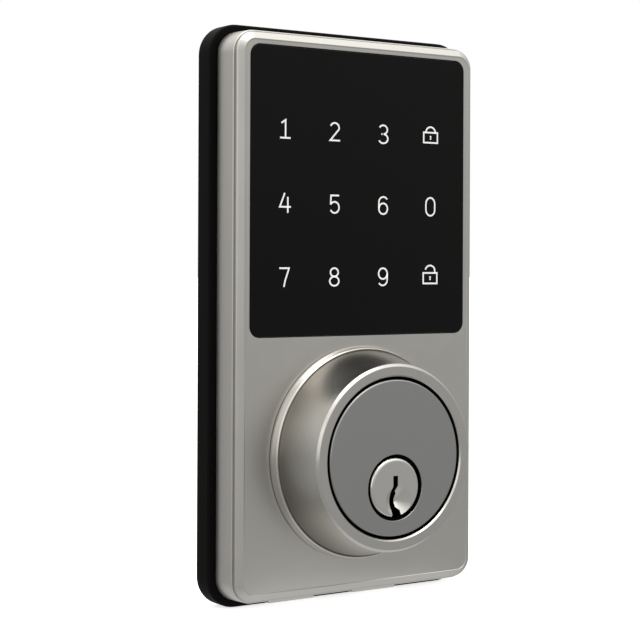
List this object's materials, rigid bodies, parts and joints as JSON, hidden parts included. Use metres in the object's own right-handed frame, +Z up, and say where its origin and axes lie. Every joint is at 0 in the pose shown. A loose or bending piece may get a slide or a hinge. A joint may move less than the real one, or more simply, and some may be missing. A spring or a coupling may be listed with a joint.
{
  "type": "keypad door lock",
  "caption": "Outside unit of a keypad deadbolt: cast escutcheon, black glass touch panel, free-turning guard collar, key cylinder and tailpiece.",
  "frame": {"origin": "on the key plug's turning axis, in the plane of the door's outside face", "axes": "+Z up, -Y out of the door towards the user, +X to the right as seen from outside"},
  "size_m": [0.0672, 0.072, 0.1236],
  "materials": {
    "satin_nickel": "satin nickel plate, fine bead-blasted, softly reflective",
    "satin_chrome": "satin chrome, cooler and a little darker than the nickel",
    "bright_nickel": "polished nickel plate",
    "brass": "machined brass",
    "zinc_plated_steel": "bright zinc plate",
    "black_plastic": "fine-textured black moulding",
    "black_foam": "closed-cell foam",
    "black_rubber": "matt rubber",
    "black_glass": "back-painted black glass with light legends",
    "clear_acrylic": "clear acrylic",
    "green_laminate": "green solder mask",
    "white_ceramic": "white",
    "black_epoxy": "moulded epoxy",
    "white_nylon": "natural nylon"
  },
  "bodies": {
    "root": {"backlight_led_1": "white_ceramic", "backlight_led_2": "white_ceramic", "backlight_led_3": "white_ceramic", "backlight_led_4": "white_ceramic", "board_screw_1": "zinc_plated_steel", "board_screw_2": "zinc_plated_steel", "board_screw_3": "zinc_plated_steel", "board_screw_4": "zinc_plated_steel", "buzzer": "brass", "cable_connector": "white_nylon", "cable_grommet": "black_rubber", "control_chip": "black_epoxy", "cover_screw_1": "zinc_plated_steel", "cover_screw_2": "zinc_plated_steel", "cover_screw_3": "zinc_plated_steel", "cover_screw_4": "zinc_plated_steel", "cylinder_body": "satin_chrome", "door_gasket": "black_foam", "front_escutcheon": "satin_nickel", "keypad_circuit_board": "green_laminate", "light_guide": "clear_acrylic", "mounting_post_left": "zinc_plated_steel", "mounting_post_right": "zinc_plated_steel", "panel_seal": "black_rubber", "pin_chamber_lid": "brass", "pin_spring_1": "zinc_plated_steel", "pin_spring_2": "zinc_plated_steel", "pin_spring_3": "zinc_plated_steel", "pin_spring_4": "zinc_plated_steel", "pin_spring_5": "zinc_plated_steel", "post_nut_left": "zinc_plated_steel", "post_nut_right": "zinc_plated_steel", "rear_housing": "black_plastic", "touch_panel_glass": "black_glass"},
    "plug": {"cam_lid": "satin_chrome", "cam_screw_1": "zinc_plated_steel", "cam_screw_2": "zinc_plated_steel", "drive_cam": "satin_chrome", "key_plug": "bright_nickel"},
    "collar": {"collar_snap_ring": "zinc_plated_steel", "guard_collar": "satin_nickel"},
    "driver_pin_1": {"driver_pin_1": "bright_nickel"},
    "driver_pin_2": {"driver_pin_2": "bright_nickel"},
    "driver_pin_3": {"driver_pin_3": "bright_nickel"},
    "driver_pin_4": {"driver_pin_4": "bright_nickel"},
    "driver_pin_5": {"driver_pin_5": "bright_nickel"},
    "key_pin_1": {"key_pin_1": "brass"},
    "key_pin_2": {"key_pin_2": "brass"},
    "key_pin_3": {"key_pin_3": "brass"},
    "key_pin_4": {"key_pin_4": "brass"},
    "key_pin_5": {"key_pin_5": "brass"},
    "tailpiece": {"tailpiece": "zinc_plated_steel"}
  },
  "joints": [
    {"name": "collar_spin", "type": "hinge", "parent": "root", "child": "collar", "pos_m": [0, -0.014, 0.00625], "axis": [0, 1, 0], "continuous": true},
    {"name": "plug_turn", "type": "hinge", "parent": "root", "child": "plug", "pos_m": [0, 0, 0], "axis": [0, 1, 0], "range_deg": [-90, 90]},
    {"name": "tailpiece_free_play", "type": "hinge", "parent": "plug", "child": "tailpiece", "pos_m": [0, 0.003, 0], "axis": [0, 1, 0], "range_deg": [0, 90]},
    {"name": "key_pin_1_lift", "type": "slide", "parent": "plug", "child": "key_pin_1", "axis": [0, 0, 1], "range_m": [0, 0.0024]},
    {"name": "key_pin_2_lift", "type": "slide", "parent": "plug", "child": "key_pin_2", "axis": [0, 0, 1], "range_m": [0, 0.0012]},
    {"name": "key_pin_3_lift", "type": "slide", "parent": "plug", "child": "key_pin_3", "axis": [0, 0, 1], "range_m": [0, 0.0018]},
    {"name": "key_pin_4_lift", "type": "slide", "parent": "plug", "child": "key_pin_4", "axis": [0, 0, 1], "range_m": [0, 0.0006]},
    {"name": "key_pin_5_lift", "type": "slide", "parent": "plug", "child": "key_pin_5", "axis": [0, 0, 1], "range_m": [0, 0.0021]},
    {"name": "driver_pin_1_lift", "type": "slide", "parent": "root", "child": "driver_pin_1", "axis": [0, 0, 1], "range_m": [0, 0.0025], "stiffness_N_per_m": 120, "springref_m": -0.002, "deforming": ["pin_spring_1"]},
    {"name": "driver_pin_2_lift", "type": "slide", "parent": "root", "child": "driver_pin_2", "axis": [0, 0, 1], "range_m": [0, 0.0025], "stiffness_N_per_m": 120, "springref_m": -0.002, "deforming": ["pin_spring_2"]},
    {"name": "driver_pin_3_lift", "type": "slide", "parent": "root", "child": "driver_pin_3", "axis": [0, 0, 1], "range_m": [0, 0.0025], "stiffness_N_per_m": 120, "springref_m": -0.002, "deforming": ["pin_spring_3"]},
    {"name": "driver_pin_4_lift", "type": "slide", "parent": "root", "child": "driver_pin_4", "axis": [0, 0, 1], "range_m": [0, 0.0025], "stiffness_N_per_m": 120, "springref_m": -0.002, "deforming": ["pin_spring_4"]},
    {"name": "driver_pin_5_lift", "type": "slide", "parent": "root", "child": "driver_pin_5", "axis": [0, 0, 1], "range_m": [0, 0.0025], "stiffness_N_per_m": 120, "springref_m": -0.002, "deforming": ["pin_spring_5"]}
  ]
}
